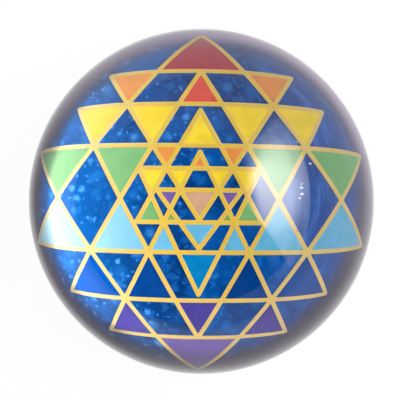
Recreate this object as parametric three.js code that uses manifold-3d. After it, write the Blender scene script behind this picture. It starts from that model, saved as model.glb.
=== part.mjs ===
// Glass dome paperweight with a shri yantra under it.
//
// A solid glass dome stands flat side down on a printed sheet. The sheet carries the figure: nine
// triangles drawn in gold on a blue ground, five pointing down and four up. They cut each other into
// 43 small triangles in five rings, each filled with a colour. A clear cement fills the space round
// the printed layers and joins the sheet to the glass, and a felt pad closes the underside.
//
// Millimetres, +Z up. The origin is the centre of the felt pad's underside. +Y is the figure's top.

import * as THREE from 'three';
import { mergeVertices } from 'three/addons/utils/BufferGeometryUtils.js';
import Module from 'manifold-3d';

const wasm = await Module();
wasm.setup();

// Glass
const domeDiameter = 80;
const domeHeight = 37;
const domeArris = 0.4; // the ground edge round the flat side

// Thickness of each layer under the glass
const cementFilm = 0.15; // over the printed layers
const inkThickness = 0.1; // gold lines and colour fields alike
const sheetThickness = 0.3;
const padFilmThickness = 0.15;
const padThickness = 1.5;

// How far each layer stays inside the edge of the glass
const cementInset = 0.6;
const sheetInset = 0.8;
const padInset = 1.4;
const padFilmInset = 1.8;
const padEdgeRound = 0.35;

// The figure. Its sizes are taken from the centre of the circle round its two great triangles.
const figureRadius = 31.65;
const figureRight = -0.28; // where that centre lies on the sheet
const figureUp = -1.1;
const lineWidth = 0.7;
const fieldClearance = 0.03; // from a colour field to the gold lines round it
const cementClearance = 0.03; // from the cement to the gold lines, at their sides

// Base lines 3 and 7 lie at heights of their own, and lines 1, 6 and 9 keep a distance from them.
// The other four base lines follow from where sides cross.
const height3 = 9.9;
const height7 = -7.1;
const line1Above3 = 12.65;
const line6Above7 = 4.8;
const line9Below7 = 14.75;

const tipGap = 1; // from the tips of triangles 4, 6 and 9 to the line that each points at
const innerTipGap = 0.55; // the same for triangle 5
const cornerGap5 = 0.35; // from the corners of triangle 5 to the sides of triangle 6
const cornerGap6 = 0.66; // from the corners of triangle 6 to the sides of triangle 2

// Facets
const roundSteps = 96;
const domeSteps = 20;
const padEdgeSteps = 2;
const joinSteps = 3; // on the round joins at the corners of the gold lines
const overrun = 0.5; // how far a form that is cut to a layer starts out beyond its faces
const overrunStep = 0.005; // how much further each one of them reaches than the one before
const weldDistance = 1e-4; // corners nearer to each other than this are one

const height1 = height3 + line1Above3;
const height6 = height7 + line6Above7;
const height9 = height7 - line9Below7;

// Half the width of a triangle at some height. The sides spread evenly from its tip.
const halfAt = ({ tip, spread }, height) => spread * Math.abs(tip - height);
const spreadTo = (tip, half, height) => half / Math.abs(tip - height);
const chordHalf = (height) => Math.sqrt(figureRadius ** 2 - height ** 2);

// Where a side of an upward triangle crosses the side of a downward one
const crossingHeight = (upward, downward) =>
  (upward.spread * upward.tip + downward.spread * downward.tip) / (upward.spread + downward.spread);

// The nine triangles, numbered by their base lines from the top. 1 to 5 point down and 6 to 9 up.
// Each is drawn through crossings of those before it, so that three lines meet in one point.
function drawTriangles() {
  const t7 = { base: height7, tip: figureRadius };
  t7.spread = spreadTo(t7.tip, chordHalf(height7), height7);
  const t3 = { base: height3, tip: -figureRadius };
  t3.spread = spreadTo(t3.tip, chordHalf(height3), height3);
  const t2 = { tip: height9 };
  t2.spread = spreadTo(t2.tip, halfAt(t7, height3), height3);
  const t8 = { tip: height1 };
  t8.spread = spreadTo(t8.tip, halfAt(t3, height7), height7);
  const t1 = { base: height1, tip: height6 + lineWidth / 2 };
  t1.spread = spreadTo(t1.tip, halfAt(t8, height3), height3);
  const t9 = { base: height9, tip: height3 - tipGap };
  t9.spread = spreadTo(t9.tip, halfAt(t2, height7), height7);
  t2.base = crossingHeight(t7, t1);
  t8.base = crossingHeight(t9, t3);
  const t4 = { tip: t8.base + tipGap };
  t4.spread = spreadTo(t4.tip, halfAt(t9, height6), height6);
  const t6 = { base: height6, tip: t2.base - tipGap };
  t6.spread = spreadTo(t6.tip, halfAt(t2, height6) - cornerGap6, height6);
  t4.base = crossingHeight(t6, t1);
  const t5 = { base: crossingHeight(t9, t1), tip: height7 + innerTipGap };
  t5.spread = spreadTo(t5.tip, halfAt(t6, t5.base) - cornerGap5, t5.base);
  return { 1: t1, 2: t2, 3: t3, 4: t4, 5: t5, 6: t6, 7: t7, 8: t8, 9: t9 };
}

const triangles = drawTriangles();

// The colour fields, ring by ring from the outside and from the top round to the bottom. Each lies
// between three sides of the nine triangles. All but those in the middle have a twin on the right.
const fields = [
  { ring: 1, colour: 'red', sides: ['left 7', 'right 7', 'base 1'] },
  { ring: 1, colour: 'orange', sides: ['base 1', 'left 1', 'left 7'], twin: true },
  { ring: 1, colour: 'yellow', sides: ['base 2', 'left 2', 'left 7'], twin: true },
  { ring: 1, colour: 'green', sides: ['base 3', 'left 3', 'left 7'], twin: true },
  { ring: 1, colour: 'light_blue', sides: ['base 7', 'left 7', 'left 3'], twin: true },
  { ring: 1, colour: 'mid_blue', sides: ['base 8', 'left 8', 'left 3'], twin: true },
  { ring: 1, colour: 'violet', sides: ['base 9', 'left 9', 'left 3'], twin: true },
  { ring: 1, colour: 'purple', sides: ['left 3', 'right 3', 'base 9'] },

  { ring: 2, colour: 'red', sides: ['left 8', 'right 8', 'base 2'] },
  { ring: 2, colour: 'yellow', sides: ['base 2', 'left 1', 'left 8'], twin: true },
  { ring: 2, colour: 'green', sides: ['base 3', 'left 2', 'left 8'], twin: true },
  { ring: 2, colour: 'light_blue', sides: ['base 7', 'left 8', 'left 2'], twin: true },
  { ring: 2, colour: 'deep_blue', sides: ['base 8', 'left 9', 'left 2'], twin: true },
  { ring: 2, colour: 'violet', sides: ['left 2', 'right 2', 'base 8'] },

  { ring: 3, colour: 'yellow', sides: ['left 6', 'right 6', 'base 3'] },
  { ring: 3, colour: 'orange', sides: ['base 3', 'left 1', 'left 6'], twin: true },
  { ring: 3, colour: 'yellow', sides: ['base 4', 'left 4', 'left 6'], twin: true },
  { ring: 3, colour: 'green', sides: ['base 6', 'left 6', 'left 4'], twin: true },
  { ring: 3, colour: 'light_blue', sides: ['base 7', 'left 9', 'left 4'], twin: true },
  { ring: 3, colour: 'cyan', sides: ['left 4', 'right 4', 'base 7'] },

  { ring: 4, colour: 'orange', sides: ['left 9', 'right 9', 'base 4'] },
  { ring: 4, colour: 'yellow', sides: ['base 4', 'left 1', 'left 9'], twin: true },
  { ring: 4, colour: 'purple', sides: ['base 5', 'left 5', 'left 9'], twin: true },
  { ring: 4, colour: 'green', sides: ['base 6', 'left 9', 'left 5'], twin: true },
  { ring: 4, colour: 'light_blue', sides: ['left 5', 'right 5', 'base 6'] },

  { ring: 5, colour: 'peach', sides: ['base 5', 'left 1', 'right 1'] },
];

const material = (color, roughness, more = {}) =>
  new THREE.MeshStandardMaterial({ color, roughness, metalness: 0, ...more });

const glassMaterial = material(0xffffff, 0.02, { transparent: true, opacity: 0.25 });
const cementMaterial = material(0xffffff, 0.1, { transparent: true, opacity: 0.2 });
const sheetMaterial = material(0x1450a0, 0.5);
const padFilmMaterial = material(0xd8d4c8, 0.6);
const padMaterial = material(0x1b1b1e, 0.95);
const goldMaterial = material(0xecba42, 0.4);

const inks = {
  red: material(0xcc463c, 0.5),
  orange: material(0xe69648, 0.5),
  yellow: material(0xf0d43e, 0.5),
  green: material(0x7abe74, 0.5),
  light_blue: material(0x69bce0, 0.5),
  mid_blue: material(0x0e62be, 0.5),
  deep_blue: material(0x024ca5, 0.5),
  cyan: material(0x0a81c2, 0.5),
  violet: material(0x5244a5, 0.5),
  purple: material(0x7860a8, 0.5),
  peach: material(0xcea686, 0.5),
};

// Heights of the faces, from the table up
const padTop = padThickness;
const sheetBottom = padTop + padFilmThickness;
const inkBottom = sheetBottom + sheetThickness;
const inkTop = inkBottom + inkThickness;
const glassBottom = inkTop + cementFilm;

const layerRadius = (inset) => domeDiameter / 2 - inset;

// A closed geometry as a solid that can be cut and joined
function solidOf(geometry) {
  const bare = geometry.clone();
  bare.deleteAttribute('normal');
  bare.deleteAttribute('uv');
  const merged = mergeVertices(bare, weldDistance);
  return new wasm.Manifold(
    new wasm.Mesh({
      numProp: 3,
      vertProperties: new Float32Array(merged.getAttribute('position').array),
      triVerts: new Uint32Array(merged.getIndex().array),
    }),
  );
}

function geometryOf(solid) {
  const mesh = solid.getMesh();
  const geometry = new THREE.BufferGeometry();
  geometry.setAttribute('position', new THREE.BufferAttribute(mesh.vertProperties, 3));
  geometry.setIndex(new THREE.BufferAttribute(mesh.triVerts, 1));
  const faceted = geometry.toNonIndexed();
  faceted.computeVertexNormals();
  return faceted;
}

const at = (radius, height) => new THREE.Vector2(radius, height);

// Turns a profile of radius and height about the Z axis
function turned(profile) {
  const geometry = new THREE.LatheGeometry(profile, roundSteps);
  geometry.rotateX(Math.PI / 2);
  return geometry;
}

function discGeometry(inset, bottom, top) {
  const radius = layerRadius(inset);
  return turned([at(0, bottom), at(radius, bottom), at(radius, top), at(0, top)]);
}

// The dome is the cap of a sphere, a little less than half of it, with its lower edge broken
function domeGeometry() {
  const domeRadius = domeDiameter / 2;
  const sphere = (domeRadius ** 2 + domeHeight ** 2) / (2 * domeHeight);
  const centre = glassBottom + domeHeight - sphere;
  const lowest = Math.acos((glassBottom + domeArris - centre) / sphere);
  const profile = [at(0, glassBottom), at(domeRadius - domeArris, glassBottom)];
  for (let step = domeSteps; step > 0; step--) {
    const angle = (lowest * step) / domeSteps;
    profile.push(at(sphere * Math.sin(angle), centre + sphere * Math.cos(angle)));
  }
  profile.push(at(0, glassBottom + domeHeight));
  return turned(profile);
}

// The pad is cut from thick felt, whose edges round over a little
function padGeometry() {
  const edge = layerRadius(padInset) - padEdgeRound;
  const corners = [
    { height: padEdgeRound, start: -Math.PI / 2 },
    { height: padThickness - padEdgeRound, start: 0 },
  ];
  const profile = [at(0, 0)];
  for (const { height, start } of corners) {
    for (let step = 0; step <= padEdgeSteps; step++) {
      const angle = start + (Math.PI / 2) * (step / padEdgeSteps);
      profile.push(at(edge + padEdgeRound * Math.cos(angle), height + padEdgeRound * Math.sin(angle)));
    }
  }
  profile.push(at(0, padThickness));
  return turned(profile);
}

// A triangle's corners, counterclockwise
function cornersOf(triangle) {
  const half = halfAt(triangle, triangle.base);
  const left = new THREE.Vector2(-half, triangle.base);
  const right = new THREE.Vector2(half, triangle.base);
  const tip = new THREE.Vector2(0, triangle.tip);
  return triangle.tip > triangle.base ? [left, right, tip] : [right, left, tip];
}

// The direction that faces out of a counterclockwise outline's side
const outward = (from, to) => Math.atan2(to.y - from.y, to.x - from.x) - Math.PI / 2;

// The corner between two sides, moved in by a distance from both
function insetCorner(before, corner, after, distance) {
  const back = before.clone().sub(corner).normalize();
  const onward = after.clone().sub(corner).normalize();
  const halfAngle = Math.acos(back.dot(onward)) / 2;
  const middle = back.add(onward).normalize();
  return corner.clone().addScaledVector(middle, distance / Math.sin(halfAngle));
}

// One triangle drawn with a line of some width: round joins outside and sharp ones inside
function lineShape(triangle, width) {
  const corners = cornersOf(triangle);
  const shape = new THREE.Shape();
  const inner = [];
  corners.forEach((corner, i) => {
    const before = corners[(i + 2) % 3];
    const after = corners[(i + 1) % 3];
    shape.absarc(corner.x, corner.y, width / 2, outward(before, corner), outward(corner, after), false);
    inner.push(insetCorner(before, corner, after, width / 2));
  });
  shape.closePath();
  shape.holes.push(new THREE.Path(inner));
  return shape;
}

// A form of the figure as a wall in its place on the sheet, which passes through the ink layer and
// beyond. No two are given one length, because walls whose ends lie in one plane don't join cleanly.
function wall(shape, order) {
  const beyond = overrun + overrunStep * order;
  const geometry = new THREE.ExtrudeGeometry(shape, {
    depth: inkThickness + 2 * beyond,
    bevelEnabled: false,
    curveSegments: joinSteps,
  });
  geometry.translate(figureRight, figureUp, inkBottom - beyond);
  return solidOf(geometry);
}

const joined = (solids) => solids.reduce((all, solid) => all.add(solid));

// All nine triangles as one network of walls
const lineWalls = (width) =>
  joined(Object.values(triangles).map((triangle, i) => wall(lineShape(triangle, width), i)));

// Two points of a side that is named as in the list of fields
function sidePoints(name) {
  const [which, number] = name.split(' ');
  const triangle = triangles[number];
  const half = halfAt(triangle, triangle.base);
  const left = new THREE.Vector2(-half, triangle.base);
  const right = new THREE.Vector2(half, triangle.base);
  const tip = new THREE.Vector2(0, triangle.tip);
  return { base: [left, right], left: [left, tip], right: [right, tip] }[which];
}

function crossing([a, b], [c, d]) {
  const first = b.clone().sub(a);
  const second = d.clone().sub(c);
  const along = c.clone().sub(a).cross(second) / first.cross(second);
  return a.clone().addScaledVector(first, along);
}

// The triangle between three sides, up to the middle of the lines round it
function fieldShape(sides) {
  const [a, b, c] = sides.map(sidePoints);
  return new THREE.Shape([crossing(a, b), crossing(b, c), crossing(c, a)]);
}

const largest = (pieces) =>
  pieces.reduce((most, piece) => (piece.volume() > most.volume() ? piece : most));

const mirrored = (side) => side.replace('left', 'right');

const group = new THREE.Group();

function place(name, geometry, finish) {
  const mesh = new THREE.Mesh(geometry, finish);
  mesh.name = name;
  group.add(mesh);
}

place('felt_pad', padGeometry(), padMaterial);
place('pad_film', discGeometry(padFilmInset, padTop, sheetBottom), padFilmMaterial);
place('print_sheet', discGeometry(sheetInset, sheetBottom, inkBottom), sheetMaterial);

const inkLayer = solidOf(discGeometry(sheetInset, inkBottom, inkTop));
place('gold_lines', geometryOf(lineWalls(lineWidth).intersect(inkLayer)), goldMaterial);

const fieldEdges = lineWalls(lineWidth + 2 * fieldClearance);
const pocketWalls = [lineWalls(lineWidth + 2 * cementClearance)];
const firstFieldOrder = Object.keys(triangles).length;

for (const { ring, colour, sides, twin } of fields) {
  const copies = twin ? { left: sides, right: sides.map(mirrored) } : { middle: sides };
  for (const [where, copySides] of Object.entries(copies)) {
    const fieldWall = wall(fieldShape(copySides), firstFieldOrder + pocketWalls.length);
    const ink = largest(inkLayer.intersect(fieldWall).subtract(fieldEdges).decompose());
    place(`${colour}_field_ring_${ring}_${where}`, geometryOf(ink), inks[colour]);
    pocketWalls.push(fieldWall);
  }
}

// The cement lies over the printed layers and reaches down to the bare ground between them
const pocketLayer = solidOf(discGeometry(sheetInset, inkBottom - overrun, inkTop));
const pocket = joined(pocketWalls).intersect(pocketLayer);
const cement = solidOf(discGeometry(cementInset, inkBottom, glassBottom)).subtract(pocket);
place('clear_cement', geometryOf(cement), cementMaterial);
place('glass_dome', domeGeometry(), glassMaterial);

export default group;
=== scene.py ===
import math
from functools import reduce

import bpy
from mathutils import Matrix, Vector


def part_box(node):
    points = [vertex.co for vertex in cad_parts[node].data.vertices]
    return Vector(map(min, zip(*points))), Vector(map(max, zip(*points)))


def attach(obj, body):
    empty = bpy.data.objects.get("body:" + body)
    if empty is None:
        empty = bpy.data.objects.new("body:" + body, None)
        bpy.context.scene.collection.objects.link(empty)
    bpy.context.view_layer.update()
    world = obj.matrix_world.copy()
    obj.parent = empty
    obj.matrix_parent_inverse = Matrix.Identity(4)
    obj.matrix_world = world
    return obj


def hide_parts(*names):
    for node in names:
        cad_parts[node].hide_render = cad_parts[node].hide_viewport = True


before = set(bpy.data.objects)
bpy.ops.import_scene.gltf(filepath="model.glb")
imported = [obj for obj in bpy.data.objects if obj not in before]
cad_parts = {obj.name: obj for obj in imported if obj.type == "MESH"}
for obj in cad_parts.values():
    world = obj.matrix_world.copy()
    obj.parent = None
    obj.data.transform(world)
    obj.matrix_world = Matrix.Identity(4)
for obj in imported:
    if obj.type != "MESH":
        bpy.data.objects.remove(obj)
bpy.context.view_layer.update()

MM = 0.001

# Where things lie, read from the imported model
GLASS_LOW, GLASS_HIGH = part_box("glass_dome")
CEMENT_LOW, CEMENT_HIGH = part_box("clear_cement")
PAD_LOW, PAD_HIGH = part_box("felt_pad")
SHEET_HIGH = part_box("print_sheet")[1]
INK_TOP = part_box("gold_lines")[1].z

# The glass is the cap of a sphere, with a narrow ground arris round its flat side
DOME_RADIUS = 40 * MM
DOME_ARRIS = 0.4 * MM
DOME_HEIGHT = GLASS_HIGH.z - GLASS_LOW.z
SPHERE_RADIUS = (DOME_RADIUS**2 + DOME_HEIGHT**2) / (2 * DOME_HEIGHT)
SPHERE_MIDDLE = GLASS_HIGH.z - SPHERE_RADIUS
GLASS_IOR = 1.52
SEAT_DEPTH = 0.05 * MM  # how far the clear body reaches down into the sheet
SEAT_INSET = 0.2 * MM  # how far it stays inside the sheet's edge there
FELT_EDGE_ROUND = 0.35 * MM

# The figure, in mm. Its heights are taken from the centre of the circle round it, and a line is the
# base of the triangle with its number, counted from the top.
FIGURE_CENTRE = (-0.28, -1.1)
FIGURE_RADIUS = 31.65
LINE_3 = 9.9
LINE_7 = -7.1
LINE_1 = LINE_3 + 12.65
LINE_6 = LINE_7 + 4.8
LINE_9 = LINE_7 - 14.75
TIP_GAP = 1.0  # from the tips of triangles 4, 6 and 9 to the line that each points at
INNER_TIP_GAP = 0.55  # the same for triangle 5
CORNER_GAP_5 = 0.35  # from the corners of triangle 5 to the sides of triangle 6
CORNER_GAP_6 = 0.66  # from the corners of triangle 6 to the sides of triangle 2
LINE_WIDTH = 0.7
LINE_SPREAD = 0.03  # how much wider the gold prints, over the gaps to the colours
STROKE_RISE = 0.001  # how far each stroke lies over the one before it
STROKE_TIP = 0.05  # how wide a stroke still is at its very end, as a share of its width


def srgb(red, green, blue):
    """A colour written as it looks on screen, from 0 to 255, as the shader wants it."""

    def linear(value):
        value /= 255
        return value / 12.92 if value <= 0.04045 else ((value + 0.055) / 1.055) ** 2.4

    return (linear(red), linear(green), linear(blue), 1.0)


class Nodes:
    """Adds nodes to a tree. A value that is a socket is linked, and any other is set."""

    def __init__(self, tree):
        self.tree = tree

    def put(self, value, socket):
        if isinstance(value, bpy.types.NodeSocket):
            self.tree.links.new(value, socket)
        else:
            socket.default_value = value

    def add(self, kind, inputs=(), **settings):
        node = self.tree.nodes.new(kind)
        for key, value in settings.items():
            setattr(node, key, value)
        for key, value in dict(inputs).items():
            self.put(value, node.inputs[key])
        return node

    def made(self, kind, inputs=(), **settings):
        """What a new node gives first."""
        return self.add(kind, inputs, **settings).outputs[0]

    def math(self, operation, first, second=0.0, clamp=False):
        inputs = {0: first, 1: second}
        return self.made("ShaderNodeMath", inputs, operation=operation, use_clamp=clamp)

    def plus(self, first, second):
        return self.math("ADD", first, second)

    def minus(self, first, second):
        return self.math("SUBTRACT", first, second)

    def times(self, first, second):
        return self.math("MULTIPLY", first, second)

    def over(self, first, second):
        return self.math("DIVIDE", first, second)

    def larger(self, first, second):
        return self.math("MAXIMUM", first, second)

    def between(self, share, first, second):
        """The number that lies a share of the way from first to second."""
        return self.plus(first, self.times(share, self.minus(second, first)))

    def toward(self, x, y, right, up):
        """How far x and y reach in the direction that right and up give."""
        return self.plus(self.times(x, right), self.times(y, up))

    def spread(self, value, low, high, to_low=0.0, to_high=1.0):
        """value as it goes smoothly from to_low at low to to_high at high."""
        ends = {"From Min": low, "From Max": high, "To Min": to_low, "To Max": to_high}
        node = self.add(
            "ShaderNodeMapRange", {"Value": value, **ends}, interpolation_type="SMOOTHSTEP"
        )
        return node.outputs["Result"]

    def mix(self, share, first, second):
        """A colour that lies a share of the way from first to second."""
        inputs = {"Factor": share, 6: first, 7: second}  # 6 and 7 are the node's two colours
        return self.add("ShaderNodeMix", inputs, data_type="RGBA").outputs[2]

    def vector(self, operation, *values):
        return self.made("ShaderNodeVectorMath", dict(enumerate(values)), operation=operation)

    def scaled(self, vector, factor):
        return self.made("ShaderNodeVectorMath", {0: vector, "Scale": factor}, operation="SCALE")

    def length(self, vector):
        node = self.add("ShaderNodeVectorMath", {0: vector}, operation="LENGTH")
        return node.outputs["Value"]

    def combined(self, **axes):
        return self.made("ShaderNodeCombineXYZ", axes)

    def separate(self, vector):
        return self.add("ShaderNodeSeparateXYZ", {"Vector": vector}).outputs

    def eye_ray(self, mirrored):
        """How far a ray sees the white studio: fully for the eye and what it sees through glass.

        A mirrored ray sees the share that is given. Light on its way from a matt face sees none, so
        that the white lights nothing.
        """
        path = self.add("ShaderNodeLightPath").outputs
        plain = self.larger(path["Is Camera Ray"], path["Is Transmission Ray"])
        seen = self.larger(plain, self.times(path["Is Glossy Ray"], mirrored))
        return self.times(seen, self.math("LESS_THAN", path["Diffuse Depth"], 0.5))


class Finish(Nodes):
    """A material whose pattern is laid out in millimetres of the object's own frame."""

    def __init__(self, name):
        self.material = bpy.data.materials.new(name)
        self.material.use_nodes = True
        super().__init__(self.material.node_tree)
        self.tree.nodes.clear()
        place = self.add("ShaderNodeTexCoord").outputs["Object"]
        self.place = self.made("ShaderNodeMapping", {"Vector": place, "Scale": (1 / MM,) * 3})

    def noise(self, size, detail=2.0, roughness=0.5, place=None, distortion=0.0):
        """Clouds about size millimetres across."""
        inputs = {
            "Vector": place or self.place,
            "Scale": 1 / size,
            "Detail": detail,
            "Roughness": roughness,
            "Distortion": distortion,
        }
        return self.add("ShaderNodeTexNoise", inputs).outputs["Fac"]

    def moved(self, x, y, z):
        return self.made("ShaderNodeMapping", {"Vector": self.place, "Location": (x, y, z)})

    def axes(self):
        return self.separate(self.place)

    def bump(self, height, strength, distance):
        """The normal on a surface whose hills are distance millimetres high."""
        inputs = {"Height": height, "Strength": strength, "Distance": distance * MM}
        return self.made("ShaderNodeBump", inputs)

    def rough(self, noise, low, high):
        """A roughness that follows a noise between low and high."""
        return self.spread(noise, 0.3, 0.7, low, high)

    def principled(self, **inputs):
        """Ends the material with the shader that these inputs set."""
        named = {key.replace("_", " "): value for key, value in inputs.items()}
        shader = self.add("ShaderNodeBsdfPrincipled", named)
        self.add("ShaderNodeOutputMaterial", {"Surface": shader.outputs["BSDF"]})
        return self.material

    def printed(self, colour, grain, roughness, strength, distance):
        """Ends the material as print with a fine grain. In the glass it has no gloss of its own."""
        return self.principled(
            Base_Color=colour,
            Roughness=self.rough(grain, *roughness),
            Specular_IOR_Level=0.0,
            Normal=self.bump(grain, strength, distance),
        )


def flecks(paint, cell, size, share, place):
    """Soft round flecks, at most one in each cell, in a share of the cells. Sizes are in mm."""
    cells = paint.add(
        "ShaderNodeTexVoronoi",
        {"Vector": place, "Scale": 1 / cell, "Randomness": 1.0},
        voronoi_dimensions="2D",
    ).outputs
    luck = paint.add("ShaderNodeSeparateColor", {"Color": cells["Color"]}).outputs
    reach = paint.times(paint.spread(luck["Red"], 0.0, 1.0, 0.35, 1.0), size / cell)
    soft = paint.spread(paint.over(cells["Distance"], reach), 1.0, 0.25)
    chosen = paint.math("LESS_THAN", luck["Green"], share)
    strength = paint.spread(luck["Blue"], 0.0, 1.0, 0.35, 1.0)
    return paint.times(paint.times(soft, chosen), strength)


# The flecks of the print: the width of their cells and their size, in mm, and the share of the
# cells that hold one
FLECKS = [(3.0, 1.8, 0.62), (1.7, 1.0, 0.6), (0.85, 0.42, 0.5)]


def clouded_blue(paint, x):
    """Deep blue with clouds and darker patches, paler at the left: painted light, for the bright
    crescent of the soft box's light that the dome gathers there.
    """
    clouds = paint.noise(9, detail=4.0, roughness=0.55)
    mist = paint.noise(
        2.6, detail=4.0, roughness=0.6, place=paint.moved(31, 7, 0), distortion=0.6
    )
    patches = paint.noise(4, detail=3.0, place=paint.moved(-12, 40, 0))
    deep = paint.mix(paint.spread(clouds, 0.36, 0.66), srgb(0, 48, 112), srgb(0, 78, 157))
    misty = paint.mix(paint.spread(mist, 0.48, 0.78, 0.0, 0.6), deep, srgb(20, 100, 190))
    dark = paint.mix(paint.spread(patches, 0.55, 0.75, 0.0, 0.5), misty, srgb(0, 38, 98))
    # Painted light: the blue pales towards the left, where the dome gathers the soft box's light
    return paint.mix(paint.spread(x, 2.0, -26.0, 0.0, 0.38), dark, srgb(34, 122, 206))


def flecked(paint, x, blue):
    """Blue with soft paler flecks, thicker at the left and in drifts, and bluer at the right."""
    leftward = paint.spread(x, 18.0, -22.0, 0.3, 1.0)
    drifts = paint.noise(6, detail=2.0, place=paint.moved(5, -23, 0))
    thick = paint.times(leftward, paint.spread(drifts, 0.35, 0.55, 0.35, 1.0))
    # The cells are bent a little, so that no fleck is quite round
    wander = paint.add("ShaderNodeTexNoise", {"Vector": paint.place, "Scale": 1.3, "Detail": 2.0})
    bent = paint.vector("MULTIPLY_ADD", wander.outputs["Color"], (1.1, 1.1, 0.0), paint.place)
    every = reduce(paint.larger, [flecks(paint, *sizes, bent) for sizes in FLECKS])
    share = paint.math("MULTIPLY", every, thick, clamp=True)
    tinted = paint.mix(paint.times(share, 0.9), blue, srgb(36, 132, 222))
    pale = paint.mix(paint.spread(share, 0.35, 1.0, 0.0, 0.45), tinted, srgb(116, 184, 240))
    return paint.mix(paint.spread(x, 6.0, 22.0, 0.0, 0.4), pale, srgb(20, 92, 190))


def edged(paint, x, y, blue):
    """Blue that darkens to a deep purple round its edge, soonest at the lower right. This is in
    part the print's dark border and in part painted shade, for the shaded floor that the rim of the
    glass mirrors.

    Soft arcs of a paler blue follow the edge at the right. The rim is paler again, most at the top
    and widest at the upper left: a painted reflection of the bright floor that the glass mirrors
    there.
    """
    out = paint.length(paint.combined(X=x, Y=y))
    turn = paint.times(paint.math("ARCTAN2", y, x), 4.0)
    arcs = paint.noise(1.7, detail=3.0, place=paint.combined(X=out, Y=turn))
    share = paint.times(paint.spread(arcs, 0.47, 0.68, 0.0, 0.6), paint.spread(x, 6.0, 18.0))
    arced = paint.mix(share, blue, srgb(70, 122, 206))
    lower_right = paint.toward(x, y, 0.77, -0.64)
    soon = paint.plus(out, paint.spread(lower_right, 13.0, 27.0, 0.0, 2.6))
    # In part painted shade: the deep purple stands in for the shaded floor mirrored at the glass's
    # rim
    deeper = paint.mix(paint.spread(soon, 25.5, 32.5, 0.0, 0.96), arced, srgb(52, 22, 62))
    upward = paint.toward(x, y, 0.15, 1.0)
    # Painted reflection: the rim pales towards the top, as the bright floor that the glass mirrors
    # there
    rim = paint.mix(paint.spread(upward, -6.0, 26.0), srgb(66, 38, 88), srgb(160, 134, 190))
    upper_left = paint.toward(x, y, -0.5, 0.87)
    early = paint.plus(out, paint.spread(upper_left, 14.0, 28.0, 0.0, 1.9))
    return paint.mix(paint.spread(early, 28.5, 33.0), deeper, rim)


def blue_print():
    """The printed ground. The sheet's cut edge shows the paper."""
    paint = Finish("blue_print")
    x, y, z = paint.axes()
    ground = edged(paint, x, y, flecked(paint, x, clouded_blue(paint, x)))
    top = SHEET_HIGH.z / MM
    face = paint.spread(z, top - 0.02, top - 0.005)
    colour = paint.mix(face, srgb(222, 220, 212), ground)
    return paint.printed(colour, paint.noise(0.12, detail=2.0), (0.45, 0.6), 0.15, 0.02)


def ink(name, colour, at_left=None):
    """A printed colour: nearly even, with the faint mottle and grain of ink on paper.

    at_left is the paler tint that it fades to at the left of the sheet. The fade is painted light,
    for the light that the dome gathers there.
    """
    paint = Finish(name)
    mottle = paint.noise(2.4, detail=3.0)
    grain = paint.noise(0.16, detail=2.0, place=paint.moved(3, 9, 0))
    pale = tuple(min(1.0, part * 1.06 + 0.004) for part in colour[:3]) + (1.0,)
    dark = tuple(part * 0.94 for part in colour[:3]) + (1.0,)
    cloudy = paint.mix(paint.spread(mottle, 0.35, 0.65), dark, pale)
    tint = paint.mix(paint.spread(grain, 0.3, 0.7, 0.0, 0.35), cloudy, colour)
    if at_left:
        # Painted light: paler towards the left, where the dome gathers the soft box's light
        tint = paint.mix(paint.spread(paint.axes()[0], -2.0, -30.0), tint, at_left)
    return paint.printed(tint, grain, (0.4, 0.55), 0.12, 0.015)


def gold_ink():
    """Gold printing ink: a warm yellow, paler along both edges of a line.

    It is paler too towards the right and the bottom of the sheet, a painted reflection of the pale
    veil that the glass mirrors there, and palest at its left, painted light for the light that the
    dome gathers there.
    """
    paint = Finish("gold_ink")
    x, y, _ = paint.axes()
    drift = paint.noise(1.1, detail=3.0)
    speckle = paint.noise(0.14, detail=2.0, place=paint.moved(17, 2, 0))
    across = paint.add("ShaderNodeAttribute", attribute_name="across").outputs["Fac"]
    edge = paint.spread(paint.math("ABSOLUTE", across), 0.4, 1.0, 0.0, 0.65)
    warm = paint.mix(paint.spread(drift, 0.35, 0.7), srgb(221, 191, 64), srgb(223, 183, 72))
    lined = paint.mix(edge, warm, srgb(236, 194, 118))
    bright = paint.mix(paint.spread(speckle, 0.5, 0.72, 0.0, 0.2), lined, srgb(246, 216, 140))
    # Painted reflection: paler towards the right and the bottom, where the glass mirrors a pale
    # veil over the print
    veil_share = paint.plus(
        paint.spread(x, 4.0, 20.0, 0.0, 0.4), paint.spread(y, -6.0, -24.0, 0.0, 0.4)
    )
    veiled = paint.mix(veil_share, bright, srgb(236, 210, 152))
    # Painted light: palest at the left, where the dome gathers the soft box's light
    painted_left_light = paint.mix(paint.spread(x, -4.0, -28.0, 0.0, 0.85), veiled, srgb(228, 213, 164))
    return paint.printed(painted_left_light, speckle, (0.34, 0.5), 0.2, 0.02)


def polished_glass():
    """Clear polished glass, with the faint wear of use round its lower edge."""
    paint = Finish("polished_glass")
    foot = GLASS_LOW.z / MM
    low = paint.spread(paint.axes()[2], foot + 1.2, foot + 0.3)
    rub = paint.noise(0.25, detail=3.0, roughness=0.7)
    return paint.principled(
        Base_Color=(1.0, 1.0, 1.0, 1.0),
        Roughness=paint.times(low, paint.spread(rub, 0.5, 0.7, 0.0, 0.12)),
        IOR=GLASS_IOR,
        Transmission_Weight=1.0,
        Normal=paint.bump(paint.noise(22, detail=0.0), 0.05, 0.02),
    )


def air():
    """The skin of a bubble in the glass, seen from the glass side."""
    paint = Finish("bubble_air")
    haze = paint.noise(0.3, detail=1.0)
    return paint.principled(
        Base_Color=(1.0, 1.0, 1.0, 1.0),
        Roughness=paint.rough(haze, 0.0, 0.05),
        IOR=1 / GLASS_IOR,
        Transmission_Weight=1.0,
    )


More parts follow.
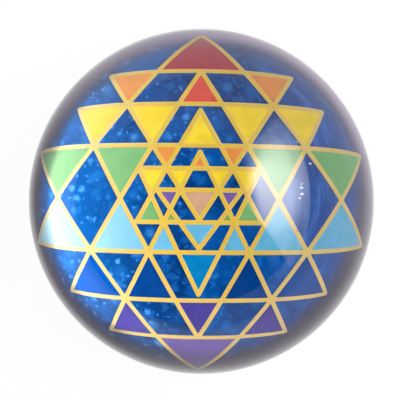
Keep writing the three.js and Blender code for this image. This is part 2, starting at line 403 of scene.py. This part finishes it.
def black_felt():
    """Pressed black felt: matted fibres with a little lint."""
    paint = Finish("black_felt")
    matted = paint.noise(1.3, detail=6.0, roughness=0.75, distortion=1.6)
    patches = paint.noise(7, detail=4.0, place=paint.moved(9, 9, 0))
    dark = paint.mix(paint.spread(matted, 0.36, 0.64), srgb(14, 14, 17), srgb(50, 50, 55))
    worn = paint.mix(paint.spread(patches, 0.48, 0.72, 0.0, 0.4), dark, srgb(66, 66, 70))
    return paint.principled(
        Base_Color=worn,
        Roughness=paint.rough(matted, 0.88, 1.0),
        Sheen_Weight=0.35,
        Sheen_Roughness=0.5,
        Normal=paint.bump(matted, 0.7, 0.12),
    )


def adhesive_film():
    """The milky film that holds the pad to the print."""
    paint = Finish("adhesive_film")
    streaks = paint.noise(1.4, detail=4.0, distortion=1.0)
    milky = paint.mix(paint.spread(streaks, 0.3, 0.7), srgb(206, 202, 188), srgb(228, 225, 214))
    return paint.principled(
        Base_Color=milky,
        Roughness=paint.rough(streaks, 0.45, 0.7),
        Normal=paint.bump(streaks, 0.2, 0.05),
    )


# Each ink, with the paler tint that it fades to at the left where it does. That fade is painted
# light, for the light that the dome gathers there
INKS = {
    "red": (srgb(222, 84, 70),),
    "orange": (srgb(230, 146, 70), srgb(232, 162, 100)),
    "yellow": (srgb(246, 214, 50), srgb(240, 204, 104)),
    "green": (srgb(118, 177, 112), srgb(138, 188, 134)),
    "light_blue": (srgb(100, 180, 220), srgb(180, 222, 242)),
    "mid_blue": (srgb(0, 72, 154), srgb(0, 92, 192)),
    "deep_blue": (srgb(0, 62, 136), srgb(0, 72, 160)),
    "cyan": (srgb(0, 124, 188),),
    "violet": (srgb(70, 58, 148), srgb(72, 60, 164)),
    "purple": (srgb(112, 90, 165),),
    "peach": (srgb(206, 164, 133),),
    "maroon": (srgb(172, 50, 68),),
    "olive": (srgb(131, 163, 79),),
}
# Fields whose ink isn't that of the others of their name
OTHER_INKS = {
    "red_field_ring_1_middle": "maroon",
    "green_field_ring_4_left": "olive",
    "green_field_ring_4_right": "olive",
}


class Triangle:
    """One gold triangle: its tip, its base line, and how wide it is at any height."""

    def __init__(self, tip, height, half, base=None):
        """half is half its width at the height that is given."""
        self.tip = tip
        self.base = base
        self.spread = half / abs(tip - height)

    def half_at(self, height):
        return self.spread * abs(self.tip - height)

    def crossing(self, other):
        """The height at which a side of this one, which points up, crosses one of the other."""
        reach = self.spread * self.tip + other.spread * other.tip
        return reach / (self.spread + other.spread)

    def corners(self):
        half = self.half_at(self.base)
        return [(-half, self.base), (half, self.base), (0.0, self.tip)]


def nine_triangles():
    """The gold triangles, each drawn through crossings of those before it."""

    def chord_half(height):
        return math.sqrt(FIGURE_RADIUS**2 - height**2)

    t7 = Triangle(FIGURE_RADIUS, LINE_7, chord_half(LINE_7), LINE_7)
    t3 = Triangle(-FIGURE_RADIUS, LINE_3, chord_half(LINE_3), LINE_3)
    t2 = Triangle(LINE_9, LINE_3, t7.half_at(LINE_3))
    t8 = Triangle(LINE_1, LINE_7, t3.half_at(LINE_7))
    t1 = Triangle(LINE_6 + LINE_WIDTH / 2, LINE_3, t8.half_at(LINE_3), LINE_1)
    t9 = Triangle(LINE_3 - TIP_GAP, LINE_7, t2.half_at(LINE_7), LINE_9)
    t2.base = t7.crossing(t1)
    t8.base = t9.crossing(t3)
    t4 = Triangle(t8.base + TIP_GAP, LINE_6, t9.half_at(LINE_6))
    t6 = Triangle(t2.base - TIP_GAP, LINE_6, t2.half_at(LINE_6) - CORNER_GAP_6, LINE_6)
    t4.base = t6.crossing(t1)
    base_5 = t9.crossing(t1)
    half_5 = t6.half_at(base_5) - CORNER_GAP_5
    t5 = Triangle(LINE_7 + INNER_TIP_GAP, base_5, half_5, base_5)
    return [t1, t2, t3, t4, t5, t6, t7, t8, t9]


def loose_mesh(name, points, edges=(), **values):
    """A mesh of loose points and edges, with values kept at its points."""
    mesh = bpy.data.meshes.new(name)
    mesh.from_pydata(points, edges, [])
    for label, numbers in values.items():
        mesh.attributes.new(label, "FLOAT", "POINT").data.foreach_set("value", numbers)
    return mesh


def gold_strokes(end_steps=5):
    """The 27 sides of the triangles as strokes with round ends, as a mesh of edges."""
    half_width = (LINE_WIDTH + LINE_SPREAD) / 2
    middle = Vector(FIGURE_CENTRE)
    turns = [math.radians(90 * step / end_steps) for step in range(end_steps, -1, -1)]
    sides = []
    for triangle in nine_triangles():
        corners = [Vector(corner) + middle for corner in triangle.corners()]
        sides += zip(corners, corners[1:] + corners[:1])
    points, edges, sizes = [], [], []
    for number, (start, end) in enumerate(sides):
        along = (end - start).normalized()
        places = [start - along * half_width * math.sin(turn) for turn in turns]
        places += [end + along * half_width * math.sin(turn) for turn in reversed(turns)]
        first = len(points)
        rise = number * STROKE_RISE * MM
        points += [(place.x * MM, place.y * MM, rise) for place in places]
        edges += [(first + step, first + step + 1) for step in range(len(places) - 1)]
        sizes += [max(STROKE_TIP, math.cos(turn)) for turn in turns + turns[::-1]]
    return loose_mesh("gold_strokes", points, edges, stroke_size=sizes)


class Shape(Nodes):
    """A geometry node tree that makes a piece's mesh of a starting mesh, with named inputs."""

    def __init__(self, name, *inputs):
        """Each of inputs is a label, a kind and the value that it has unless another is given."""
        tree = bpy.data.node_groups.new(name, "GeometryNodeTree")
        super().__init__(tree)
        for way in ("INPUT", "OUTPUT"):
            tree.interface.new_socket("Geometry", in_out=way, socket_type="NodeSocketGeometry")
        for label, kind, value in inputs:
            kind = "NodeSocket" + kind
            socket = tree.interface.new_socket(label, in_out="INPUT", socket_type=kind)
            socket.default_value = value
        tree.interface.new_socket("Material", in_out="INPUT", socket_type="NodeSocketMaterial")
        self.given = self.add("NodeGroupInput").outputs
        self.result = self.add("NodeGroupOutput").inputs[0]

    def stored(self, shape, name, value):
        """The shape with a value kept at each of its points."""
        inputs = {"Geometry": shape, "Name": name, "Value": value}
        return self.made("GeometryNodeStoreNamedAttribute", inputs)

    def known(self, name):
        """A value that is kept at each point."""
        return self.made("GeometryNodeInputNamedAttribute", {"Name": name}, data_type="FLOAT")

    def chance(self, number, low, high):
        """A vector or number drawn for each point, between low and high.

        number tells the draws of a tree apart.
        """
        is_vector = isinstance(low, tuple)
        first = 0 if is_vector else 2
        seed = self.plus(self.given["Seed"], number)
        node = self.add(
            "FunctionNodeRandomValue",
            {"Seed": seed, first: low, first + 1: high},
            data_type="FLOAT_VECTOR" if is_vector else "FLOAT",
        )
        return node.outputs[0 if is_vector else 1]

    def end(self, shape):
        """Gives the shape out, with its instances made real and its material set."""
        real = self.made("GeometryNodeRealizeInstances", {"Geometry": shape})
        coat = {"Geometry": real, "Material": self.given["Material"]}
        self.put(self.made("GeometryNodeSetMaterial", coat), self.result)
        return self.tree


def add_object(name, data):
    made = bpy.data.objects.new(name, data)
    bpy.context.scene.collection.objects.link(made)
    return made


def finished(name, tree, start, material, **sizes):
    """An object with the plain mesh that a tree makes of the starting mesh.

    sizes are values for the tree's named inputs, with _ for a space.
    """
    rough = add_object(name + "_rough", start)
    modifier = rough.modifiers.new("shape", "NODES")
    modifier.node_group = tree
    values = {"Material": material, **sizes}
    for item in tree.interface.items_tree:
        label = item.name.replace(" ", "_")
        if item.in_out == "INPUT" and label in values:
            modifier[item.identifier] = values[label]
    graph = bpy.context.evaluated_depsgraph_get()
    mesh = bpy.data.meshes.new_from_object(rough.evaluated_get(graph), depsgraph=graph)
    bpy.data.objects.remove(rough)
    mesh.name = name
    return add_object(name, mesh)


def turned_tree():
    """Turns a profile about the Z axis. It is points from the bottom centre to the top centre."""
    nodes = Shape(
        "turned",
        ("Round Steps", "Int", 192),
        ("Weld Distance", "Float", 0.001 * MM),
        ("Crease Angle", "Float", math.radians(30)),
    )
    given = nodes.given
    profile = {"Geometry": given["Geometry"]}
    steps = nodes.add("GeometryNodeAttributeDomainSize", profile).outputs["Point Count"]
    columns = nodes.plus(given["Round Steps"], 1.0)
    grid = nodes.made("GeometryNodeMeshGrid", {"Vertices X": columns, "Vertices Y": steps})
    index = nodes.made("GeometryNodeInputIndex")
    column = nodes.math("FLOOR", nodes.over(nodes.plus(index, 0.5), steps))
    row = nodes.minus(index, nodes.times(column, steps))
    profile["Value"] = nodes.made("GeometryNodeInputPosition")
    profile["Index"] = nodes.math("ROUND", row)
    point = nodes.made("GeometryNodeSampleIndex", profile, data_type="FLOAT_VECTOR")
    step = nodes.over(2 * math.pi, given["Round Steps"])
    turn = {"Vector": point, "Angle": nodes.times(column, step)}
    place = nodes.made("ShaderNodeVectorRotate", turn, rotation_type="Z_AXIS")
    shaped = nodes.made("GeometryNodeSetPosition", {"Geometry": grid, "Position": place})
    welded = nodes.made(
        "GeometryNodeMergeByDistance", {"Geometry": shaped, "Distance": given["Weld Distance"]}
    )
    smooth = nodes.made("GeometryNodeSetShadeSmooth", {"Geometry": welded, "Shade Smooth": True})
    angle = nodes.add("GeometryNodeInputMeshEdgeAngle").outputs["Unsigned Angle"]
    sharp = nodes.math("GREATER_THAN", angle, given["Crease Angle"])
    creased = nodes.made(
        "GeometryNodeSetShadeSmooth",
        {"Geometry": smooth, "Selection": sharp, "Shade Smooth": False},
        domain="EDGE",
    )
    return nodes.end(creased)


def strokes_tree():
    """Draws each stroke as a low bead of ink that knows how far each point is from its middle."""
    nodes = Shape(
        "strokes",
        ("Width", "Float", (LINE_WIDTH + LINE_SPREAD) * MM),
        ("Bottom", "Float", SHEET_HIGH.z),
        ("Thickness", "Float", INK_TOP - SHEET_HIGH.z),
        ("Edge Round", "Float", 0.03 * MM),
    )
    given = nodes.given
    size = nodes.known("stroke_size")
    lines = nodes.made("GeometryNodeMeshToCurve", {"Mesh": given["Geometry"]})
    upright = nodes.made("GeometryNodeSetCurveNormal", {"Curve": lines}, mode="Z_UP")
    sized = nodes.made("GeometryNodeSetCurveRadius", {"Curve": upright, "Radius": size})
    section = nodes.made(
        "GeometryNodeCurvePrimitiveQuadrilateral",
        {0: given["Width"], 1: given["Thickness"]},
        mode="RECTANGLE",
    )
    eased = nodes.made(
        "GeometryNodeFilletCurve", {"Curve": section, "Radius": given["Edge Round"]}
    )
    x = nodes.separate(nodes.made("GeometryNodeInputPosition"))["X"]
    bead = nodes.stored(eased, "across", nodes.over(nodes.times(x, 2.0), given["Width"]))
    beads = nodes.made(
        "GeometryNodeCurveToMesh",
        {"Curve": sized, "Profile Curve": bead, "Fill Caps": True, "Scale": size},
    )
    rise = nodes.plus(given["Bottom"], nodes.times(given["Thickness"], 0.5))
    lift = nodes.combined(Z=rise)
    laid = nodes.made("GeometryNodeSetPosition", {"Geometry": beads, "Offset": lift})
    crisp = {"Geometry": laid, "Shade Smooth": False}
    return nodes.end(nodes.made("GeometryNodeSetShadeSmooth", crisp))


def bubbles_tree():
    """Bubbles at the starting mesh's points, and smaller ones strewn through the dome."""
    nodes = Shape(
        "bubbles",
        ("Count", "Int", 40),
        ("Reach", "Float", 30 * MM),
        ("Floor", "Float", 6 * MM),
        ("Smallest", "Float", 0.03 * MM),
        ("Largest", "Float", 0.07 * MM),
        ("Seed", "Int", 7),
    )
    given = nodes.given
    way = nodes.vector("NORMALIZE", nodes.chance(0, (-1.0, -1.0, 0.05), (1.0, 1.0, 1.0)))
    reach = nodes.times(nodes.chance(1, 0.25, 1.0), given["Reach"])
    lift = nodes.combined(Z=given["Floor"])
    place = nodes.vector("ADD", nodes.scaled(way, reach), lift)
    points = nodes.made("GeometryNodePoints", {"Count": given["Count"], "Position": place})
    radius = nodes.chance(2, given["Smallest"], given["Largest"])
    strewn = nodes.stored(points, "bubble_radius", radius)
    every = nodes.add("GeometryNodeJoinGeometry")
    for bubbles in (nodes.made("GeometryNodeMeshToPoints", {"Mesh": given["Geometry"]}), strewn):
        nodes.put(bubbles, every.inputs[0])
    ball = nodes.made("GeometryNodeMeshIcoSphere", {"Radius": 1.0, "Subdivisions": 3})
    placed = nodes.made(
        "GeometryNodeInstanceOnPoints",
        {
            "Points": every.outputs[0],
            "Instance": nodes.made("GeometryNodeSetShadeSmooth", {"Geometry": ball}),
            "Scale": nodes.known("bubble_radius"),
        },
    )
    return nodes.end(placed)


def felt_tree():
    """Presses a turned disc into felt, whose surface undulates inwards a little."""
    nodes = Shape("pressed_felt", ("Depth", "Float", 0.05 * MM), ("Grain", "Float", 0.7 * MM))
    given = nodes.given
    place = nodes.made("GeometryNodeInputPosition")
    scale = nodes.over(1.0, given["Grain"])
    noise = nodes.add("ShaderNodeTexNoise", {"Vector": place, "Scale": scale, "Detail": 3.0})
    depth = nodes.times(noise.outputs["Fac"], given["Depth"])
    inward = nodes.scaled(nodes.made("GeometryNodeInputNormal"), nodes.times(depth, -1.0))
    pressed = {"Geometry": given["Geometry"], "Offset": inward}
    return nodes.end(nodes.made("GeometryNodeSetPosition", pressed))


def fibres_tree():
    """Loose fibres that stand off the cut edge of the felt."""
    nodes = Shape(
        "loose_fibres",
        ("Density", "Float", 4.0e6),
        ("Length", "Float", 0.5 * MM),
        ("Thickness", "Float", 0.012 * MM),
        ("Seed", "Int", 3),
    )
    given = nodes.given
    # They stand only where the felt faces sideways
    rise = nodes.separate(nodes.made("GeometryNodeInputNormal"))["Z"]
    roots = nodes.add(
        "GeometryNodeDistributePointsOnFaces",
        {
            "Mesh": given["Geometry"],
            "Selection": nodes.math("LESS_THAN", nodes.math("ABSOLUTE", rise), 0.75),
            "Density": given["Density"],
            "Seed": given["Seed"],
        },
    ).outputs
    # One fibre of length 1, as a bent thread
    bend = {
        "Resolution": 3,
        "Start": (0.0, 0.0, 0.0),
        "Middle": (0.25, 0.0, 0.45),
        "End": (0.9, 0.1, 0.4),
    }
    arc = nodes.made("GeometryNodeCurveQuadraticBezier", bend)
    thickness = nodes.over(given["Thickness"], given["Length"])
    section = nodes.made(
        "GeometryNodeCurvePrimitiveCircle", {"Resolution": 3, "Radius": thickness}
    )
    thread = nodes.made(
        "GeometryNodeCurveToMesh", {"Curve": arc, "Profile Curve": section, "Fill Caps": True}
    )
    turn = nodes.chance(0, (-0.5, -0.5, -math.pi), (0.5, 0.5, math.pi))
    leaning = nodes.made(
        "FunctionNodeRotateRotation", {0: roots["Rotation"], 1: turn}, rotation_space="LOCAL"
    )
    placed = nodes.made(
        "GeometryNodeInstanceOnPoints",
        {
            "Points": roots["Points"],
            "Instance": thread,
            "Rotation": leaning,
            "Scale": nodes.chance(1, nodes.times(given["Length"], 0.4), given["Length"]),
        },
    )
    # What would hang below the pad lies on the floor beside it
    real = nodes.made("GeometryNodeRealizeInstances", {"Geometry": placed})
    place = nodes.made("GeometryNodeInputPosition")
    lying = nodes.vector("MAXIMUM", place, (-1.0, -1.0, 0.0))
    laid = nodes.made("GeometryNodeSetPosition", {"Geometry": real, "Position": lying})
    return nodes.end(laid)


def profile_mesh(name, profile):
    """A profile of radii and heights as points in the XZ plane."""
    return loose_mesh(name, [(radius, 0.0, height) for radius, height in profile])


def dome_profile(steps=96):
    """The glass with the cement under it, from the bottom centre to the top.

    The cement has the glass's own refraction, so the two are one clear body. Its lowest face lies
    in the sheet, so that the print is seen in the glass and no air shows between.
    """
    seat = SHEET_HIGH.z - SEAT_DEPTH
    seat_edge = SHEET_HIGH.x - SEAT_INSET
    lowest = math.acos((GLASS_LOW.z + DOME_ARRIS - SPHERE_MIDDLE) / SPHERE_RADIUS)
    profile = [
        (0.0, seat),
        (seat_edge, seat),
        (seat_edge, CEMENT_LOW.z),
        (CEMENT_HIGH.x, CEMENT_LOW.z),
        (CEMENT_HIGH.x, GLASS_LOW.z),
        (DOME_RADIUS - DOME_ARRIS, GLASS_LOW.z),
    ]
    for step in range(steps, -1, -1):
        angle = lowest * step / steps
        height = SPHERE_MIDDLE + SPHERE_RADIUS * math.cos(angle)
        profile.append((SPHERE_RADIUS * math.sin(angle), height))
    return profile_mesh("dome_profile", profile)


def felt_profile(rings=60, rounds=4):
    """The felt disc, with the cut edges rounded over."""
    edge = PAD_HIGH.x - FELT_EDGE_ROUND
    bottom = [(edge * ring / rings, PAD_LOW.z) for ring in range(rings)]
    top = [(edge * ring / rings, PAD_HIGH.z) for ring in range(rings - 1, -1, -1)]
    side = []
    for middle, start in ((PAD_LOW.z + FELT_EDGE_ROUND, -90), (PAD_HIGH.z - FELT_EDGE_ROUND, 0)):
        for step in range(rounds + 1):
            angle = math.radians(start + 90 * step / rounds)
            radius = edge + FELT_EDGE_ROUND * math.cos(angle)
            side.append((radius, middle + FELT_EDGE_ROUND * math.sin(angle)))
    return profile_mesh("felt_profile", bottom + side + top)


# The bubbles that show close under the surface: their places seen from above, how deep they lie,
# and their radii, in mm
SEEN_BUBBLES = [
    (21.7, -6.7, 0.8, 0.17),
    (29.5, -20.0, 0.5, 0.22),
    (8.3, 25.0, 0.5, 0.22),
    (30.5, 18.3, 0.5, 0.2),
]


def seen_bubbles():
    """The same bubbles as points that know their radii."""
    centre = Vector((0.0, 0.0, SPHERE_MIDDLE))
    places = []
    for x, y, depth, _ in SEEN_BUBBLES:
        rise = math.sqrt(SPHERE_RADIUS**2 - (x * MM) ** 2 - (y * MM) ** 2)
        inward = 1 - depth * MM / SPHERE_RADIUS
        places.append(centre + Vector((x * MM, y * MM, rise)) * inward)
    sizes = [radius * MM for *_, radius in SEEN_BUBBLES]
    return loose_mesh("seen_bubbles", places, bubble_radius=sizes)


def make_dome(turned):
    """One clear body for the glass and its cement."""
    dome = finished("clear_dome", turned, dome_profile(), polished_glass(), Round_Steps=256)
    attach(dome, "root")
    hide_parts("glass_dome", "clear_cement")


def make_pad(turned):
    """The felt disc and the fibres at its edge."""
    felt = black_felt()
    disc = finished("felt_blank", turned, felt_profile(), felt, Round_Steps=240)
    pad = finished("felt_disc", felt_tree(), disc.data, felt)
    bpy.data.objects.remove(disc)
    fibres = finished("felt_fibres", fibres_tree(), pad.data, felt)
    for piece in (pad, fibres):
        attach(piece, "root")
    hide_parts("felt_pad")


def make_bubbles():
    """The few bubbles that show in the glass, and finer ones strewn through it."""
    bubbles = finished("glass_bubbles", bubbles_tree(), seen_bubbles(), air())
    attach(bubbles, "root")


def dress(node, material):
    """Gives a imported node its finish."""
    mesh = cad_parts[node].data
    mesh.materials.clear()
    mesh.materials.append(material)


def make_print():
    """The sheet, its film, its colours and the gold over them."""
    dress("print_sheet", blue_print())
    dress("pad_film", adhesive_film())
    gold = finished("gold_triangles", strokes_tree(), gold_strokes(), gold_ink())
    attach(gold, "root")
    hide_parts("gold_lines")
    colours = {name: ink(f"{name}_ink", *tints) for name, tints in INKS.items()}
    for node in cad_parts:
        colour, _, rest = node.partition("_field_ring_")
        if rest:
            dress(node, colours[OTHER_INKS.get(node, colour)])


# The floor and what stands round it, in metres
FLOOR_REACH = 3.0
FLOOR_DROP = 0.05 * MM  # the floor lies a hair below the felt
FLOOR_WHITE = 0.97  # how much of it is white to the eye. The rest keeps the object's shadow
BULB_ROW = 0.49  # where the bulbs stand, just before the soft box
BULB_RADIUS = 4 * MM
BULB_ENERGY = 0.017
ROOM_LEVEL = 0.02  # how bright the dim room is
MIRRORED_WORLD = 0.03  # how bright the glass mirrors it at least


def pale_floor():
    """A pale matt floor that keeps the object's shadow and is white to the eye.

    The glass mirrors it most brightly at the top and the right, less at the lower right and least
    at the lower left, and paler close by. This is painted light and shade: bright where the soft
    box lights the floor, darkest where the object's shadow falls. Far off it mirrors it as white at
    the upper right, and mostly as the matt floor that it is at the lower left.
    """
    paint = Finish("pale_floor")
    cloudy = paint.spread(paint.noise(90, detail=3.0), 0.3, 0.7)
    tone = paint.mix(cloudy, srgb(246, 246, 246), srgb(250, 250, 250))
    matt = paint.made("ShaderNodeBsdfDiffuse", {"Color": tone})
    x, y, _ = paint.axes()
    away = paint.math("SQRT", paint.plus(paint.times(x, x), paint.times(y, y)))
    right = paint.over(x, away)
    up = paint.over(y, away)
    # Painted light and shade in what the glass mirrors: brightest to the top and the right, where
    # the soft box lights the floor, and darkest to the lower left, where the object's shadow falls
    top = paint.spread(paint.toward(right, up, 0.342, 0.94), -0.3, 0.6, 0.5, 1.0)
    lower_right = paint.spread(paint.toward(right, up, 0.574, -0.819), 0.3, 0.9, 0.0, 0.3)
    around = paint.math("MINIMUM", paint.plus(top, lower_right), 1.0)
    near = paint.between(paint.spread(away, 48.0, 42.0, 0.0, 0.7), around, 1.0)
    far = paint.spread(paint.plus(right, up), -0.9, 0.7, 0.14, 1.0)
    ring = paint.spread(away, 70.0, 240.0)
    strength = paint.eye_ray(paint.between(ring, near, 1.0))
    share = paint.times(paint.eye_ray(paint.between(ring, 1.0, far)), FLOOR_WHITE)
    white = paint.made(
        "ShaderNodeEmission", {"Color": (1.0, 1.0, 1.0, 1.0), "Strength": strength}
    )
    both = paint.made("ShaderNodeMixShader", {0: share, 1: matt, 2: white})
    paint.add("ShaderNodeOutputMaterial", {"Surface": both})
    return paint.material


def make_floor():
    mesh = bpy.data.meshes.new("floor")
    corners = [(-1, -1), (1, -1), (1, 1), (-1, 1)]
    places = [(x * FLOOR_REACH, y * FLOOR_REACH, -FLOOR_DROP) for x, y in corners]
    mesh.from_pydata(places, [], [(0, 1, 2, 3)])
    mesh.materials.append(pale_floor())
    add_object("floor", mesh)


def make_world():
    """A white sweep that ends a little above the floor, a pale wall and a dim room.

    The sweep is brightest at the right, less so at the bottom and the top, and dark at the left.
    The wall stands at the top side. To the eye all of it is white.
    """
    world = bpy.data.worlds.new("studio")
    bpy.context.scene.world = world
    world.use_nodes = True
    nodes = Nodes(world.node_tree)
    nodes.tree.nodes.clear()
    way = nodes.add("ShaderNodeTexCoord").outputs["Generated"]
    x, y, rise = nodes.separate(way)
    right_end = nodes.spread(x, 0.4, 0.75, 0.02, 0.75)
    top_end = nodes.spread(y, 0.3, 0.8, 0.02, 0.38)
    low_end = nodes.times(nodes.spread(y, -0.5, -0.9), nodes.spread(x, -0.45, 0.3, 0.0, 0.58))
    ends = nodes.larger(nodes.larger(right_end, top_end), low_end)
    sweep = nodes.times(nodes.spread(rise, 0.3, 0.325, 1.0, 0.0), ends)
    band = nodes.times(nodes.spread(rise, 0.95, 0.5), nodes.spread(rise, 0.05, 0.5, 0.4, 1.0))
    topward = nodes.spread(y, -0.1, 0.65, 0.0, 0.7)
    wall = nodes.times(band, nodes.times(topward, nodes.spread(x, -0.7, 0.1, 0.55, 1.0)))
    room = nodes.plus(nodes.plus(sweep, wall), ROOM_LEVEL)
    tone = nodes.larger(nodes.eye_ray(MIRRORED_WORLD), room)
    back = {"Color": (1.0, 1.0, 1.0, 1.0), "Strength": tone}
    nodes.add("ShaderNodeOutputWorld", {"Surface": nodes.made("ShaderNodeBackground", back)})


def looking(place, back, upward):
    """Where a lamp or camera stands that looks away from back, with its top towards upward."""
    side = upward.cross(back).normalized()
    turn = Matrix((side, back.cross(side), back)).transposed()
    return Matrix.Translation(place) @ turn.to_4x4()


def soft_box(name, corners, energy, even, spots=(), slant=0.0):
    """An upright soft box on a plane of constant X that faces the object.

    It is lit to the strength that even gives, and fades towards its bottom and top. Each spot adds
    its own: its place and size in shares of the box, how steep its edge is, and its strength. The
    side at the low end of Y leans inwards by slant of the box's width.
    """
    low, high = (Vector(corner) for corner in corners)
    middle = (low + high) / 2
    lamp = bpy.data.lights.new(name, "AREA")
    lamp.shape = "RECTANGLE"
    lamp.size = high.y - low.y
    lamp.size_y = high.z - low.z
    lamp.energy = energy
    lamp.use_nodes = True
    nodes = Nodes(lamp.node_tree)
    nodes.tree.nodes.clear()
    here = nodes.add("ShaderNodeNewGeometry").outputs["Parametric"]

    def glow(place, size, steepness, strength):
        offset = nodes.vector("SUBTRACT", here, (*place, 0.0))
        scaled = nodes.vector("MULTIPLY", offset, (1 / size[0], 1 / size[1], 0.0))
        far = nodes.math("POWER", nodes.length(scaled), steepness)
        return nodes.times(nodes.math("POWER", math.e, nodes.times(far, -1.0)), strength)

    across, rise, _ = nodes.separate(here)
    parts = [glow(*values) for values in spots]
    parts.append(nodes.times(nodes.spread(rise, 0.02, 0.2, 0.35, 1.0), even))
    leaning = nodes.minus(across, nodes.times(rise, slant))
    sides = nodes.times(nodes.spread(leaning, -0.03, 0.0), nodes.spread(across, 1.0, 0.88))
    lit = nodes.times(reduce(nodes.plus, parts), sides)
    strength = nodes.times(lit, nodes.spread(rise, 1.0, 0.6))
    cloth = nodes.made("ShaderNodeEmission", {"Strength": strength})
    nodes.add("ShaderNodeOutputLight", {"Surface": cloth})
    box = add_object(name, lamp)
    back = Vector((math.copysign(1.0, middle.x), 0.0, 0.0))
    box.matrix_world = looking(middle, back, Vector((0.0, 0.0, 1.0)))
    return box


# The small bulbs whose sparks show in the glass, by Y and Z in metres
BULBS = [
    (0.086, 0.203),
    (0.068, 0.208),
    (0.065, 0.196),
    (0.036, 0.212),
    (0.039, 0.199),
    (0.019, 0.225),
    (0.178, 0.112),
    (0.171, 0.103),
    (0.309, 0.144),
]


def make_lights():
    """A large soft box at the right, a weak fill at the left and a few sparks.

    The soft box has a hot middle with a hotter core high in it. The fill doesn't show in the glass.
    The sparks are a loose row of tiny bulbs, too weak to light anything.
    """
    soft_box(
        "right_soft_box",
        corners=((0.5, -0.36, 0.145), (0.5, 0.62, 1.0)),
        energy=1.85,
        even=3.0,
        spots=[
            ((0.483, 0.36), (0.302, 0.31), 4.0, 13.5),
            ((0.55, 0.6), (0.15, 0.2), 2.0, 8.1),
        ],
        slant=0.369,
    )
    corners = ((-0.5, -0.3, 0.12), (-0.5, 0.3, 0.6))
    fill = soft_box("left_fill", corners=corners, energy=0.66, even=1.0)
    fill.visible_glossy = False
    for number, (y, z) in enumerate(BULBS, start=1):
        lamp = bpy.data.lights.new(f"bulb_{number}", "POINT")
        lamp.shadow_soft_size = BULB_RADIUS
        lamp.energy = BULB_ENERGY
        bulb = add_object(lamp.name, lamp)
        bulb.location = (BULB_ROW, y, z)
        bulb.visible_camera = False


# Where the camera stands and what it looks at, in mm from the middle of the print, which way is up
# in the picture, and the focal length and the picture's width in pixels
CAMERA_PLACE = (7.30, -7.97, 512.0)
CAMERA_TARGET = (-0.30, 0.25, 0.0)
PICTURE_UP = (-0.0117, 0.99993, 0.0)
FOCAL_LENGTH = 2209
PICTURE_WIDTH = 400


def make_camera():
    """Nearly straight above, as the photograph was taken."""
    middle = Vector((0.0, 0.0, INK_TOP))
    place = middle + Vector(CAMERA_PLACE) * MM
    target = middle + Vector(CAMERA_TARGET) * MM
    data = bpy.data.cameras.new("camera")
    data.sensor_width = 36.0
    data.lens = FOCAL_LENGTH / PICTURE_WIDTH * data.sensor_width
    data.clip_start = 0.01
    data.clip_end = 20.0
    camera = add_object("camera", data)
    camera.matrix_world = looking(place, (place - target).normalized(), Vector(PICTURE_UP))
    bpy.context.scene.camera = camera


turned = turned_tree()
make_dome(turned)
make_pad(turned)
make_bubbles()
make_print()

make_floor()
make_world()
make_camera()
make_lights()
bpy.context.scene.view_settings.view_transform = "Standard"
# Light that the dome gathers on the print stays as sharp as the glass makes it
bpy.context.scene.cycles.blur_glossy = 0.0
